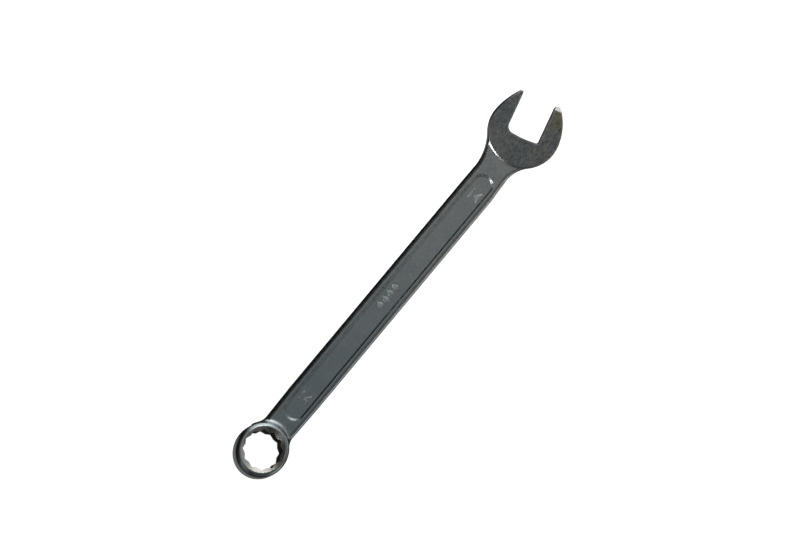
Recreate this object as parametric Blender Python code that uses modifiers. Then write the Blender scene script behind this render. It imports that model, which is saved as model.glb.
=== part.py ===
"""Combination wrench for 14 mm hexagons: a 12-point box end, a panelled shank and an open end.

The real tool is one steel forging. It is modelled here as the three regions of that forging,
parted on two flat planes at the necks: box_end_ring, shank and open_end_head.
Metres, +Z up. The tool lies flat on Z = 0, with +X running from the box end to the open end.
The origin is under the middle of the tool, on the surface that it lies on.
"""

import math

import bmesh
import bpy
from mathutils import Euler, Matrix, Vector

MM = 0.001

# The hexagon that both ends are made for, and the clearance of a real jaw.
HEXAGON = 14.0 * MM
HEXAGON_CLEARANCE = 0.1 * MM
ACROSS_FLATS = HEXAGON + HEXAGON_CLEARANCE

# Places along the tool, from the middle of the ring.
PARTING_RING_X = 14.0 * MM
FULL_WIDTH_START_X = 26.0 * MM
FULL_WIDTH_END_X = 134.0 * MM
PARTING_HEAD_X = 142.2 * MM
HEAD_CENTRE_X = 163.4 * MM

# Shank: a bar with well rounded edges and a sunk panel in both faces.
SHANK_WIDTH = 14.0 * MM
SHANK_THICKNESS = 5.8 * MM
SHANK_EDGE_ROUND = 1.9 * MM
RING_NECK_HALF = 6.7 * MM
HEAD_NECK_UPPER = 6.9 * MM
HEAD_NECK_LOWER = 6.35 * MM
PANEL_START_X = 16.8 * MM
PANEL_END_X = 140.8 * MM
PANEL_WIDTH = 8.6 * MM
PANEL_DEPTH = 0.7 * MM
PANEL_WALL_RUN = 0.5 * MM

# Box end: a barrel-shaped ring that leans back over the shank, with a 12-point bore.
RING_TILT = math.radians(15.0)
RING_RADIUS = 10.55 * MM
RING_LENGTHENING = 1.09
RING_HEIGHT = 10.0 * MM
RING_BAND_HEIGHT = 5.0 * MM
RING_RIM_RADIUS = 9.1 * MM
RING_FILLET_RADIUS = 9.8 * MM
RING_ROOT_RADIUS = 10.4 * MM
RING_ROOT_START_X = 3.5 * MM
RING_ROOT_CLEARANCE = 0.2 * MM
BORE_POINTS = 12
BORE_TURN = math.radians(5.0)
BORE_FRONT_RADIUS = 8.8 * MM
BORE_FRONT_SLOPE = math.radians(30.0)
BORE_BACK_RADIUS = 8.3 * MM
BORE_BACK_SLOPE = math.radians(45.0)
BORE_ENTRY_FLOOR_RADIUS = 7.1 * MM

# Open end: a round head with two jaws, turned from the line of the shank.
HEAD_OFFSET_Y = 0.5 * MM
HEAD_TURN = math.radians(15.0)
HEAD_THICKNESS = 6.6 * MM
HEAD_RADIUS = 14.5 * MM
HEAD_EDGE_ROUND = 0.55 * MM
HEAD_FILLET_UPPER = 22.0 * MM
HEAD_FILLET_LOWER = 12.7 * MM
HEAD_ROOT_RADIUS = 14.45 * MM
HEAD_ROOT_END_X = 156.5 * MM
UPPER_JAW_START = math.radians(72.0)
UPPER_JAW_RADIUS = 31.0 * MM
UPPER_JAW_REACH = 14.8 * MM
LOWER_JAW_START = math.radians(90.0)
LOWER_JAW_RADIUS = 22.5 * MM
LOWER_JAW_REACH = 14.9 * MM
THROAT_DEPTH = 2.4 * MM
THROAT_BOW = 0.6 * MM
THROAT_UPPER_CORNER = 2.4 * MM
THROAT_LOWER_CORNER = 0.8 * MM

# Finishes: the steel's colour and its roughness.
PLATED = ((0.43, 0.44, 0.44), 0.30)
SATIN = ((0.36, 0.39, 0.40), 0.38)
GROUND = ((0.33, 0.35, 0.34), 0.50)

# Fineness of the faceting.
ARC_STEP = math.radians(6.0)
RING_STEPS = 72
EDGE_SEGMENTS = 5
FINE_EDGE_SEGMENTS = 3
PANEL_EDGE_SEGMENTS = 1
EDGE_ANGLE = math.radians(60.0)
SMOOTH_ANGLE = math.radians(35.0)
FLAT_ANGLE = math.radians(0.5)
MERGE = 0.01 * MM
OVERCUT = 5.0 * MM
BLOCK_SIZE = 50.0 * MM

MID_PLANE_Z = HEAD_THICKNESS / 2
RING_RIM_REACH = RING_RIM_RADIUS * RING_LENGTHENING
RING_CENTRE_Z = RING_RIM_REACH * math.sin(RING_TILT) + RING_HEIGHT / 2 * math.cos(RING_TILT)
RING_TIP_REACH = (
    RING_RADIUS * RING_LENGTHENING * math.cos(RING_TILT)
    + RING_BAND_HEIGHT / 2 * math.sin(RING_TILT)
)


def clear_scene():
    for old in list(bpy.data.objects):
        bpy.data.objects.remove(old, do_unlink=True)


def new_collection(name):
    collection = bpy.data.collections.new(name)
    bpy.context.scene.collection.children.link(collection)
    return collection


def steel(name, finish):
    colour, roughness = finish
    material = bpy.data.materials.new(name)
    material.use_nodes = True
    shader = material.node_tree.nodes["Principled BSDF"]
    shader.inputs["Base Color"].default_value = (*colour, 1.0)
    shader.inputs["Metallic"].default_value = 1.0
    shader.inputs["Roughness"].default_value = roughness
    return material


def arc(centre, radius, start, end):
    """Points on an arc about centre, from angle start to angle end."""
    steps = max(2, math.ceil(abs(end - start) / ARC_STEP))
    angles = [start + (end - start) * i / steps for i in range(steps + 1)]
    return [
        (centre[0] + radius * math.cos(angle), centre[1] + radius * math.sin(angle))
        for angle in angles
    ]


def mirrored(points):
    """The same points on the other side of the tool's line, in the opposite order."""
    return [(x, -y) for x, y in reversed(points)]


def add_object(name, mesh, collection, origin):
    solid = bpy.data.objects.new(name, mesh)
    solid.parent = origin
    collection.objects.link(solid)
    return solid


def as_cutter(solid):
    solid.hide_render = True
    solid.display_type = "WIRE"
    return solid


def extruded_mesh(name, outline, thickness):
    """A flat outline given a thickness, half of it on each side of its own plane."""
    curve = bpy.data.curves.new(name, "CURVE")
    curve.dimensions = "2D"
    curve.fill_mode = "BOTH"
    curve.extrude = thickness / 2
    spline = curve.splines.new("POLY")
    spline.points.add(len(outline) - 1)
    for point, (x, y) in zip(spline.points, outline):
        point.co = (x, y, 0.0, 1.0)
    spline.use_cyclic_u = True
    drawn = bpy.data.objects.new(name, curve)
    bpy.context.scene.collection.objects.link(drawn)
    bpy.context.view_layer.update()
    evaluated = drawn.evaluated_get(bpy.context.evaluated_depsgraph_get())
    mesh = bpy.data.meshes.new_from_object(evaluated)
    bpy.data.objects.remove(drawn, do_unlink=True)
    form = bmesh.new()
    form.from_mesh(mesh)
    bmesh.ops.remove_doubles(form, verts=form.verts, dist=MERGE)
    bmesh.ops.dissolve_limit(form, angle_limit=FLAT_ANGLE, verts=form.verts, edges=form.edges)
    bmesh.ops.recalc_face_normals(form, faces=form.faces)
    form.to_mesh(mesh)
    form.free()
    return mesh


def round_edges(solid, width, segments, limit="ANGLE"):
    bevel = solid.modifiers.new("rounded_edges", "BEVEL")
    bevel.width = width
    bevel.segments = segments
    bevel.limit_method = limit
    bevel.angle_limit = EDGE_ANGLE
    bevel.use_clamp_overlap = False


def boolean(solid, other, operation):
    step = solid.modifiers.new(operation.lower() + "_" + other.name, "BOOLEAN")
    step.operation = operation
    step.solver = "EXACT"
    step.object = other


def make_block(name, size, place, collection, origin):
    bpy.ops.mesh.primitive_cube_add(size=1.0)
    block = bpy.context.object
    block.name = name
    for home in block.users_collection:
        home.objects.unlink(block)
    collection.objects.link(block)
    block.parent = origin
    block.scale = size
    block.location = place
    return as_cutter(block)


def block_between(name, start_x, end_x, collection, origin):
    """A block that holds everything of the tool between two planes across it."""
    size = (end_x - start_x, BLOCK_SIZE, BLOCK_SIZE)
    place = ((start_x + end_x) / 2, 0.0, MID_PLANE_Z)
    return make_block(name, size, place, collection, origin)


def root_fillet(eye_radius, fillet_radius, half_width):
    """The arc from the side of the bar into a round eye about 0, 0, below the eye's line.

    It starts on the straight side, at half_width from the line, and ends on the eye.
    """
    rise = half_width + fillet_radius
    run = math.sqrt((eye_radius + fillet_radius) ** 2 - rise**2)
    return arc((-run, -rise), fillet_radius, math.pi / 2, math.atan2(rise, run))


def shifted(points, x, y):
    return [(point[0] + x, point[1] + y) for point in points]


def bar_side(neck_half, head_fillet, head_offset):
    """The lower side of the bar, from the eye in the ring to the eye in the head."""
    out_of_ring = root_fillet(RING_ROOT_RADIUS, RING_FILLET_RADIUS, RING_NECK_HALF)
    ring_end = [(-x, y) for x, y in reversed(out_of_ring)]
    into_head = root_fillet(HEAD_ROOT_RADIUS, head_fillet, neck_half + head_offset)
    head_end = shifted(into_head, HEAD_CENTRE_X, head_offset)
    half = SHANK_WIDTH / 2
    return ring_end + [(FULL_WIDTH_START_X, -half), (FULL_WIDTH_END_X, -half)] + head_end


def eye(centre, radius, first, last):
    """The arc about centre from the point first, counter-clockwise, to just before last."""
    start = math.atan2(first[1] - centre[1], first[0] - centre[0])
    end = math.atan2(last[1] - centre[1], last[0] - centre[0])
    if end < start:
        end += 2 * math.pi
    return arc(centre, radius, start, end)[1:-1]


def bar_outline():
    """The bar that joins both ends: a round eye in each of them and the sides between."""
    lower = bar_side(HEAD_NECK_LOWER, HEAD_FILLET_LOWER, HEAD_OFFSET_Y)
    upper = mirrored(bar_side(HEAD_NECK_UPPER, HEAD_FILLET_UPPER, -HEAD_OFFSET_Y))
    head_eye = eye((HEAD_CENTRE_X, HEAD_OFFSET_Y), HEAD_ROOT_RADIUS, lower[-1], upper[0])
    ring_eye = eye((0.0, 0.0), RING_ROOT_RADIUS, upper[-1], lower[0])
    return lower + head_eye + upper + ring_eye


def bar_region(name, bar_mesh, block, material, collection, origin):
    """The part of the forged bar that lies inside a block."""
    region = add_object(name, bar_mesh.copy(), collection, origin)
    region.location.z = MID_PLANE_Z
    region.data.materials.append(material)
    region.data.shade_smooth()
    region.data.set_sharp_from_angle(angle=SMOOTH_ANGLE)
    round_edges(region, SHANK_EDGE_ROUND, EDGE_SEGMENTS)
    boolean(region, block, "INTERSECT")
    return region


def ring_profile():
    """Half the ring's section without its bore, from the top of its axis to the bottom."""
    run = RING_RADIUS - RING_RIM_RADIUS
    rise = (RING_HEIGHT - RING_BAND_HEIGHT) / 2
    radius = (run**2 + rise**2) / (2 * run)
    sweep = math.asin(rise / radius)
    shoulder = arc((RING_RADIUS - radius, RING_BAND_HEIGHT / 2), radius, sweep, 0.0)
    return [(0.0, RING_HEIGHT / 2)] + shoulder + mirrored(shoulder) + [(0.0, -RING_HEIGHT / 2)]


def tilt_as_ring(solid):
    solid.location.z = RING_CENTRE_Z
    solid.rotation_euler.y = RING_TILT


def make_ring_body(collection, origin):
    profile = ring_profile()
    mesh = bpy.data.meshes.new("ring_body")
    links = [(i, i + 1) for i in range(len(profile) - 1)]
    mesh.from_pydata([(x, 0.0, z) for x, z in profile], links, [])
    body = add_object("ring_body", mesh, collection, origin)
    turned = body.modifiers.new("turned", "SCREW")
    turned.steps = RING_STEPS
    turned.render_steps = RING_STEPS
    turned.use_merge_vertices = True
    turned.merge_threshold = MERGE
    turned.use_smooth_shade = True
    body.scale.x = RING_LENGTHENING
    tilt_as_ring(body)
    return as_cutter(body)


def make_bore(collection, origin):
    """The 12-point bore: two hexagons, one turned 30 degrees from the other."""
    outer = ACROSS_FLATS / 2 / math.cos(math.pi / 6)
    inner = ACROSS_FLATS / 2 / math.cos(math.pi / BORE_POINTS)
    outline = []
    for i in range(2 * BORE_POINTS):
        angle = BORE_TURN + math.pi * i / BORE_POINTS
        radius = inner if i % 2 else outer
        outline.append((radius * math.cos(angle), radius * math.sin(angle)))
    mesh = extruded_mesh("bore", outline, RING_HEIGHT + 2 * OVERCUT)
    bore = add_object("bore", mesh, collection, origin)
    tilt_as_ring(bore)
    return as_cutter(bore)


def make_bore_entry(name, radius, slope, side, collection, origin):
    """A cone, as oval as the ring, that opens the bore at its front (side 1) or back (side -1)."""
    depth = (radius - BORE_ENTRY_FLOOR_RADIUS) * math.tan(slope)
    form = bmesh.new()
    bmesh.ops.create_cone(
        form,
        cap_ends=True,
        segments=RING_STEPS,
        radius1=BORE_ENTRY_FLOOR_RADIUS,
        radius2=radius + OVERCUT / math.tan(slope),
        depth=depth + OVERCUT,
        matrix=Matrix.Translation((0.0, 0.0, (RING_HEIGHT + OVERCUT - depth) / 2)),
    )
    if side < 0:
        bmesh.ops.rotate(form, verts=form.verts, matrix=Matrix.Rotation(math.pi, 3, "X"))
    mesh = bpy.data.meshes.new(name)
    form.to_mesh(mesh)
    form.free()
    cone = add_object(name, mesh, collection, origin)
    cone.scale.x = RING_LENGTHENING
    tilt_as_ring(cone)
    return as_cutter(cone)


def make_below_ring(collection, origin):
    """The space behind the ring, which the level neck would otherwise stand into."""
    back = -RING_HEIGHT / 2 + RING_ROOT_CLEARANCE
    middle = Vector((0.0, 0.0, back - BLOCK_SIZE / 2))
    middle.rotate(Euler((0.0, RING_TILT, 0.0)))
    middle.z += RING_CENTRE_Z
    size = (BLOCK_SIZE, BLOCK_SIZE, BLOCK_SIZE)
    block = make_block("below_ring", size, middle, collection, origin)
    block.rotation_euler.y = RING_TILT
    return block


def make_box_end_ring(bar_mesh, material, parts, cutters, origin):
    block = block_between("ring_end_of_bar", RING_ROOT_START_X, PARTING_RING_X, cutters, origin)
    ring = bar_region("box_end_ring", bar_mesh, block, material, parts, origin)
    boolean(ring, make_below_ring(cutters, origin), "DIFFERENCE")
    boolean(ring, make_ring_body(cutters, origin), "UNION")
    boolean(ring, make_bore(cutters, origin), "DIFFERENCE")
    for name, radius, slope, side in (
        ("bore_front_entry", BORE_FRONT_RADIUS, BORE_FRONT_SLOPE, 1),
        ("bore_back_entry", BORE_BACK_RADIUS, BORE_BACK_SLOPE, -1),
    ):
        entry = make_bore_entry(name, radius, slope, side, cutters, origin)
        boolean(ring, entry, "DIFFERENCE")
    return ring


def make_panel(name, side, collection, origin):
    """A long round-ended recess with sloping walls, in the top (side 1) or bottom (side -1)."""
    end_radius = PANEL_WIDTH / 2
    far_end = arc((PANEL_END_X - end_radius, 0.0), end_radius, -math.pi / 2, math.pi / 2)
    near_end = arc((PANEL_START_X + end_radius, 0.0), end_radius, math.pi / 2, 3 * math.pi / 2)
    height = 2 * SHANK_THICKNESS
    panel = add_object(name, extruded_mesh(name, far_end + near_end, height), collection, origin)
    panel.location.z = MID_PLANE_Z + side * (SHANK_THICKNESS / 2 - PANEL_DEPTH + height / 2)
    round_edges(panel, PANEL_WALL_RUN, PANEL_EDGE_SEGMENTS)
    return as_cutter(panel)


def make_shank(bar_mesh, material, parts, cutters, origin):
    block = block_between("middle_of_bar", PARTING_RING_X, PARTING_HEAD_X, cutters, origin)
    shank = bar_region("shank", bar_mesh, block, material, parts, origin)
    boolean(shank, make_panel("top_panel", 1, cutters, origin), "DIFFERENCE")
    boolean(shank, make_panel("bottom_panel", -1, cutters, origin), "DIFFERENCE")
    return shank


def jaw_tip_round(outer_centre, outer_radius, reach):
    """The radius that joins a jaw's inner face to its outer arc at the jaw's full reach."""
    run = reach - outer_centre[0]
    side = ACROSS_FLATS / 2 - outer_centre[1]
    spare = side - run + outer_radius
    return math.sqrt(spare**2 + outer_radius**2 - run**2 - side**2) - spare


def jaw_outline(outer_start, outer_radius, reach, throat_corner):
    """The upper jaw, from the middle of the head's back round the tip to the throat's middle.

    Here +X is the way that a nut comes out, and 0, 0 is the middle of the head. The jaw's outer
    arc leaves the head's circle at the angle outer_start.
    """
    half = ACROSS_FLATS / 2
    setback = outer_radius - HEAD_RADIUS
    outer_centre = (-setback * math.cos(outer_start), -setback * math.sin(outer_start))
    tip = jaw_tip_round(outer_centre, outer_radius, reach)
    tip_x = reach - tip
    tip_y = half + tip
    tip_turn = math.atan2(tip_y - outer_centre[1], tip_x - outer_centre[0])
    back = arc((0.0, 0.0), HEAD_RADIUS, math.pi, outer_start)
    outer = arc(outer_centre, outer_radius, outer_start, tip_turn)
    end = arc((tip_x, tip_y), tip, tip_turn, -math.pi / 2)
    throat_radius = (half**2 + THROAT_BOW**2) / (2 * THROAT_BOW)
    throat_x = throat_radius - THROAT_DEPTH
    corner_y = half - throat_corner
    corner_x = throat_x - math.sqrt((throat_radius - throat_corner) ** 2 - corner_y**2)
    corner_turn = math.atan2(corner_y, corner_x - throat_x)
    corner = arc((corner_x, corner_y), throat_corner, math.pi / 2, corner_turn)
    throat = arc((throat_x, 0.0), throat_radius, corner_turn, math.pi)
    return back + outer[1:] + end[1:] + corner + throat[1:]


def on_tool(point):
    """A point of the head's own plan, turned and placed as on the tool."""
    turned = Matrix.Rotation(HEAD_TURN, 2) @ Vector(point)
    return (turned.x + HEAD_CENTRE_X, turned.y + HEAD_OFFSET_Y)


def in_mouth(vertex):
    """Whether a corner of the head's mesh lies on a jaw face or in the throat."""
    across = Vector((vertex.co.x - HEAD_CENTRE_X, vertex.co.y - HEAD_OFFSET_Y))
    own = Matrix.Rotation(-HEAD_TURN, 2) @ across
    return own.x > -THROAT_DEPTH - MERGE and abs(own.y) < ACROSS_FLATS / 2 + MERGE


def head_outline():
    upper = jaw_outline(
        UPPER_JAW_START, UPPER_JAW_RADIUS, UPPER_JAW_REACH, THROAT_UPPER_CORNER
    )
    lower = jaw_outline(
        LOWER_JAW_START, LOWER_JAW_RADIUS, LOWER_JAW_REACH, THROAT_LOWER_CORNER
    )
    return [on_tool(point) for point in upper[:-1] + mirrored(lower)[:-1]]


def mark_outside_edges(mesh):
    """Marks the edges that get rounded: those round the head, but not those of its mouth."""
    weights = mesh.attributes.new("bevel_weight_edge", "FLOAT", "EDGE")
    for edge in mesh.edges:
        first, second = (mesh.vertices[i] for i in edge.vertices)
        level = abs(first.co.z - second.co.z) < MERGE
        mouth = in_mouth(first) and in_mouth(second)
        weights.data[edge.index].value = 1.0 if level and not mouth else 0.0


def make_head_body(outline, collection, origin):
    mesh = extruded_mesh("head_body", outline, HEAD_THICKNESS)
    mark_outside_edges(mesh)
    body = add_object("head_body", mesh, collection, origin)
    body.location.z = MID_PLANE_Z
    round_edges(body, HEAD_EDGE_ROUND, FINE_EDGE_SEGMENTS, limit="WEIGHT")
    return as_cutter(body)


def make_open_end_head(outline, bar_mesh, material, parts, cutters, origin):
    block = block_between("head_end_of_bar", PARTING_HEAD_X, HEAD_ROOT_END_X, cutters, origin)
    head = bar_region("open_end_head", bar_mesh, block, material, parts, origin)
    boolean(head, make_head_body(outline, cutters, origin), "UNION")
    return head


def make_origin(outline, collection):
    """The empty that everything hangs on, set so that the world's origin is under the middle."""
    middle_x = (max(x for x, _ in outline) - RING_TIP_REACH) / 2
    middle_y = (max(y for _, y in outline) + min(y for _, y in outline)) / 2
    origin = bpy.data.objects.new("ring_centre_line", None)
    origin.location = (-middle_x, -middle_y, 0.0)
    collection.objects.link(origin)
    return origin


def main():
    clear_scene()
    parts = new_collection("combination_wrench")
    cutters = new_collection("cutters")
    outline = head_outline()
    origin = make_origin(outline, parts)
    bar_mesh = extruded_mesh("bar", bar_outline(), SHANK_THICKNESS)
    plated = steel("plated_ring_steel", PLATED)
    satin = steel("satin_shank_steel", SATIN)
    ground = steel("ground_head_steel", GROUND)
    make_box_end_ring(bar_mesh, plated, parts, cutters, origin)
    make_shank(bar_mesh, satin, parts, cutters, origin)
    make_open_end_head(outline, bar_mesh, ground, parts, cutters, origin)


main()
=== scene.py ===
"""The looks of the 14 mm combination wrench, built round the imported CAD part.

The tool is one forging. Its skin is described here by a distance function, in millimetres, that
is negative inside the steel: forged forms that flow into each other, then the ground faces, the
jaw slot and the bore that are cut into them. The skin is meshed by dual contouring, which keeps
the cut edges sharp, and is parted where the CAD nodes part.
"""

import math

import bmesh
import bpy
import numpy as np
from mathutils import Matrix, Vector


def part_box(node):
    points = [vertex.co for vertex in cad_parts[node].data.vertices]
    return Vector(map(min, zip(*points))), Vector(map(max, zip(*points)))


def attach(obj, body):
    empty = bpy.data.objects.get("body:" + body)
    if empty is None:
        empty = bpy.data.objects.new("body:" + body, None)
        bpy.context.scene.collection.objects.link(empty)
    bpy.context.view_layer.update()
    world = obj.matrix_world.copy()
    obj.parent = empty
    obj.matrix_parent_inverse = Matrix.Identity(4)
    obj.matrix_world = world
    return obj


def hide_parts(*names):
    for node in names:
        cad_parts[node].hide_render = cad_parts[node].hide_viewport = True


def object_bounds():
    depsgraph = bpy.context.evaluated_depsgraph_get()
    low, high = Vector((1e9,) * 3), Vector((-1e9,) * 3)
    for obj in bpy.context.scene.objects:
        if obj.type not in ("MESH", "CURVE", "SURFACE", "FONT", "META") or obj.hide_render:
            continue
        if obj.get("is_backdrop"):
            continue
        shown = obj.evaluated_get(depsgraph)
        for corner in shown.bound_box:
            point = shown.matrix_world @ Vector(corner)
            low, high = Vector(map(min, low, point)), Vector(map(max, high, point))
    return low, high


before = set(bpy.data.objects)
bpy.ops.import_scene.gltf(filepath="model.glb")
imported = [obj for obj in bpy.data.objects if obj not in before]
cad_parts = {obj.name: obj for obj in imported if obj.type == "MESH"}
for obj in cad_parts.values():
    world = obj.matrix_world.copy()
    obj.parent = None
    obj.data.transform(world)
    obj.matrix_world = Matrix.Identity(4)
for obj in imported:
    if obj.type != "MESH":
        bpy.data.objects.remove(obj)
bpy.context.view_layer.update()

MM = 0.001

# The frame's own coordinates here: millimetres, X from the ring's middle along the shank, Y from
# the shank's centreline, Z from the mid-plane of the shank and the open end.
PARTING_RING_X = 14.0
shank_low, shank_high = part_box("shank")
head_low, head_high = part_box("open_end_head")
ORIGIN = Vector((
    shank_low.x - PARTING_RING_X * MM,
    (shank_low.y + shank_high.y) / 2,
    (shank_low.z + shank_high.z) / 2,
))
PARTING_HEAD_X = (shank_high.x - ORIGIN.x) / MM
SHANK_HALF_WIDTH = (shank_high.y - shank_low.y) / MM / 2
SHANK_HALF_HEIGHT = (shank_high.z - shank_low.z) / MM / 2
GROUND_HALF_HEIGHT = (head_high.z - head_low.z) / MM / 2

HALF_JAW = 7.05

# Shank
RING_NECK_HALF = 6.7
RING_NECK_FILLET = 9.8
RING_NECK_EYE = 10.4
FULL_WIDTH_START_X = 26.0
FULL_WIDTH_END_X = 134.0
SHANK_EDGE_ROUND = 1.9
FORGED_WAVINESS = 0.012
FLASH_LINE_HEIGHT = 0.05
FLASH_LINE_SPREAD = 0.45
PANEL_START_X = 16.8
PANEL_END_X = 140.8
PANEL_HALF_WIDTH = 4.3
PANEL_DEPTH = 0.7
PANEL_WALL_RUN = 0.45
PANEL_FLOOR_FILLET = 0.25
PANEL_RIM_ROUND = 0.2

# Box end
RING_TILT = math.radians(15.0)
RING_RADIUS = 10.55
RING_LENGTHENING = 1.09
RING_HALF_HEIGHT = 5.0
RING_BAND_HALF_HEIGHT = 2.5
RING_RIM_RADIUS = 9.1
RING_RIM_ROUND = 0.35
RING_ROOT_FILLET = 2.0
RING_BACK_CLEARANCE = 0.2
BORE_TURN = math.radians(5.0)
RING_CENTRE_Z = (
    RING_RIM_RADIUS * RING_LENGTHENING * math.sin(RING_TILT)
    + RING_HALF_HEIGHT * math.cos(RING_TILT)
    - GROUND_HALF_HEIGHT
)
BORE_FRONT_RADIUS = 8.8
BORE_FRONT_SLOPE = math.radians(30.0)
BORE_BACK_RADIUS = 8.3
BORE_BACK_SLOPE = math.radians(45.0)

# Open end
HEAD_CENTRE = (163.4, 0.5)
HEAD_TURN = math.radians(15.0)
HEAD_RADIUS = 14.5
HEAD_FORGED_HALF_HEIGHT = 3.6
HEAD_EDGE_ROUND = 1.2
HEAD_EDGE_BLEND = 11.0
HEAD_NECK_UPPER = 6.9
HEAD_NECK_LOWER = 6.35
HEAD_FILLET_UPPER = 22.0
HEAD_FILLET_LOWER = 12.7
UPPER_JAW_START = math.radians(72.0)
UPPER_JAW_RADIUS = 31.0
UPPER_JAW_REACH = 14.8
LOWER_JAW_START = math.radians(90.0)
LOWER_JAW_RADIUS = 22.5
LOWER_JAW_REACH = 14.9
THROAT_DEPTH = 2.4
THROAT_BOW = 0.6
THROAT_UPPER_CORNER = 2.4
THROAT_LOWER_CORNER = 0.8
TIP_FACET_START = 13.1
TIP_FACET_SLOPE = math.radians(25.0)
STEP_CENTRE = (165.6, 1.0)
STEP_START_RADIUS = 16.95
STEP_END_RADIUS = 14.85

# Fineness
# The grid's low corner was found by trying several: from this one the 0.29 mm mesh has no
# non-manifold edge, which the method itself doesn't promise.
CELL = 0.29
GRID_LOW = (-13.12, -16.68, -4.2)
GRID_HIGH = (181.5, 17.5, 12.4)
GRADIENT_STEP = 0.02
CROSSING_STEPS = 3
PULL_TO_MIDDLE = 0.04
CELL_SLACK = 0.1
PARTING_TOLERANCE = 1e-7
TINY = 1e-9
FAR = 1e9
FINISH_TOLERANCE = 0.02
EDGE_PROBE = 0.8
SHARP_ANGLE = math.radians(32.0)


# ---------------------------------------------------------------- distances in the plane

def round_union(a, b, radius):
    """Two solids joined with a concave fillet."""
    joined = np.maximum(radius, np.minimum(a, b))
    return joined - np.hypot(np.maximum(radius - a, 0.0), np.maximum(radius - b, 0.0))


def round_overlap(a, b, radius):
    """What two solids share, with its new edge rounded."""
    shared = np.minimum(-radius, np.maximum(a, b))
    return shared + np.hypot(np.maximum(radius + a, 0.0), np.maximum(radius + b, 0.0))


def smooth_step(value, start, end):
    """0 before the start, 1 past the end and a soft S between them."""
    t = np.clip((value - start) / (end - start), 0.0, 1.0)
    return t * t * (3.0 - 2.0 * t)


def arc_run(centre, radius, start, end):
    """An arc of an outline. Its end lies clockwise from its start where the arc is hollow."""
    return ("arc", centre, radius, start, end)


def line_run(start, end):
    """A straight run of an outline."""
    return ("line", start, end)


def point_on(run, at_end):
    """An end of a run, and the outward direction there."""
    if run[0] == "arc":
        _, centre, radius, start, end = run
        angle = end if at_end else start
        way = (math.cos(angle), math.sin(angle))
        place = (centre[0] + radius * way[0], centre[1] + radius * way[1])
        side = 1.0 if end > start else -1.0
        return place, (side * way[0], side * way[1])
    _, start, end = run
    length = math.dist(start, end)
    way = ((end[0] - start[0]) / length, (end[1] - start[1]) / length)
    return (end if at_end else start), (way[1], -way[0])


def beside_run(run, x, y):
    """Whether each point lies beside a run rather than past its ends, and how far outside it."""
    if run[0] == "arc":
        _, centre, radius, start, end = run
        dx = x - centre[0]
        dy = y - centre[1]
        middle = (start + end) / 2
        off = np.arctan2(dy, dx) - middle
        off = np.abs((off + math.pi) % (2 * math.pi) - math.pi)
        side = 1.0 if end > start else -1.0
        return off <= abs(end - start) / 2, side * (np.hypot(dx, dy) - radius)
    place, out = point_on(run, False)
    length = math.dist(run[1], run[2])
    dx = x - place[0]
    dy = y - place[1]
    along = -dx * out[1] + dy * out[0]
    return (along >= 0.0) & (along <= length), dx * out[0] + dy * out[1]


def outline_distance(runs, x, y):
    """Signed distance to a closed outline, listed counter-clockwise. Negative inside.

    Where two runs meet in a corner, the run that faces a point more squarely sets its sign.
    """
    best = np.full(np.broadcast(x, y).shape, FAR)
    best_square = np.zeros(best.shape)
    for run in runs:
        beside, signed = beside_run(run, x, y)
        nearer = beside & (np.abs(signed) < np.abs(best))
        best = np.where(nearer, signed, best)
        best_square = np.where(nearer, 1.0, best_square)
        for at_end in (False, True):
            place, out = point_on(run, at_end)
            dx = x - place[0]
            dy = y - place[1]
            reach = np.hypot(dx, dy)
            outward = dx * out[0] + dy * out[1]
            square = np.abs(outward) / np.maximum(reach, TINY)
            tied = (np.abs(reach - np.abs(best)) <= TINY) & (square > best_square)
            nearer = ~beside & ((reach < np.abs(best) - TINY) | tied)
            best = np.where(nearer, np.where(outward >= 0.0, reach, -reach), best)
            best_square = np.where(nearer, square, best_square)
    return best


# ---------------------------------------------------------------- the outline of the tool

def head_point(u, v):
    """A place in the head's own plan, where +u is the way that a nut comes out."""
    c = math.cos(HEAD_TURN)
    s = math.sin(HEAD_TURN)
    return (HEAD_CENTRE[0] + u * c - v * s, HEAD_CENTRE[1] + u * s + v * c)


def jaw_runs(side, start, radius, reach):
    """The upper (side 1) or lower (side -1) jaw's outer arc and its tip, from the head's back."""
    setback = radius - HEAD_RADIUS
    centre_u = -setback * math.cos(start)
    centre_v = -setback * math.sin(start)
    run = reach - centre_u
    rise = HALF_JAW - centre_v
    half_b = rise - run + radius
    tip = math.sqrt(half_b**2 - run**2 - rise**2 + radius**2) - half_b
    tip_u = reach - tip
    tip_v = HALF_JAW + tip
    turn = math.atan2(tip_v - centre_v, tip_u - centre_u)
    outer_centre = head_point(centre_u, side * centre_v)
    tip_centre = head_point(tip_u, side * tip_v)
    outer = sorted((side * turn + HEAD_TURN, side * start + HEAD_TURN))
    end = sorted((side * turn + HEAD_TURN, -side * math.pi / 2 + HEAD_TURN))
    inner = head_point(tip_u, side * HALF_JAW)
    return arc_run(outer_centre, radius, *outer), arc_run(tip_centre, tip, *end), inner


def neck_fillet(neck_half, fillet, centre_rise):
    """Centre and contact angle of the fillet between a straight side and the head's circle."""
    rise = neck_half - centre_rise + fillet
    run = math.sqrt((HEAD_RADIUS + fillet) ** 2 - rise**2)
    return run, math.atan2(rise, run)


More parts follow.
